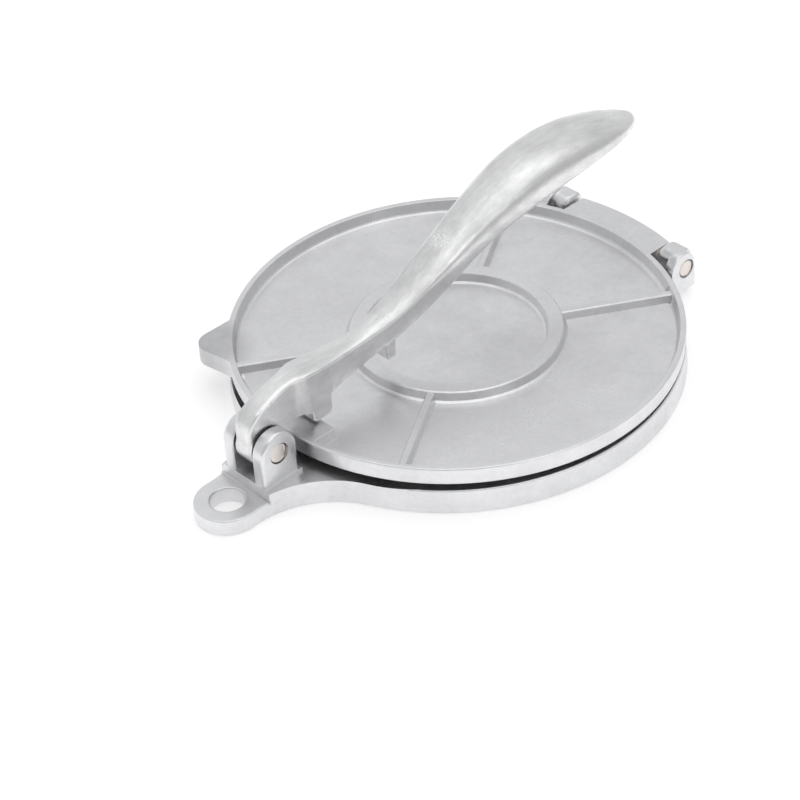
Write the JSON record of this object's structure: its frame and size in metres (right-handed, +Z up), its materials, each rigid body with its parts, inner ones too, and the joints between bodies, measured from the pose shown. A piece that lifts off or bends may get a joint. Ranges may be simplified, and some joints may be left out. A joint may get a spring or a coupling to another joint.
{
  "type": "tortilla press",
  "caption": "Hinged round press: a lever in a front fork bears on a ribbed upper plate and flattens dough against the base plate; a tongue with an eye hangs it up.",
  "frame": {"origin": "centre of the round plates, on the underside of the base, in the plane the press stands on", "axes": "+X along the hinge line, -Y towards the lever fork and the hanging eye, +Z up through the plates"},
  "size_m": [0.2008, 0.2618, 0.0883],
  "materials": {
    "base_plate": "satin cast",
    "hanging_eye": "satin cast",
    "lever_fork": "satin cast",
    "upper_plate": "satin cast",
    "lever": "satin polished cast",
    "lever_pin": "plain steel",
    "hinge_pin_left": "plain steel",
    "hinge_pin_right": "plain steel"
  },
  "bodies": {
    "base": {"base_plate": "base_plate", "hanging_eye": "hanging_eye", "lever_fork": "lever_fork", "lever_pin": "lever_pin", "hinge_pin_left": "hinge_pin_left", "hinge_pin_right": "hinge_pin_right"},
    "plate": {"upper_plate": "upper_plate"},
    "handle": {"lever": "lever"}
  },
  "joints": [
    {"name": "lever_swing", "type": "hinge", "parent": "base", "child": "handle", "pos_m": [0, -0.114, 0.0263], "axis": [1, 0, 0], "range_deg": [-7.5, 110]},
    {"name": "plate_open", "type": "hinge", "parent": "base", "child": "plate", "pos_m": [0, 0.104, 0.0146], "axis": [-1, 0, 0], "range_deg": [-0.9, 13.2]}
  ],
  "couplings": [
    {"joint": "plate_open", "follows": "lever_swing", "ratio": 0.12}
  ]
}
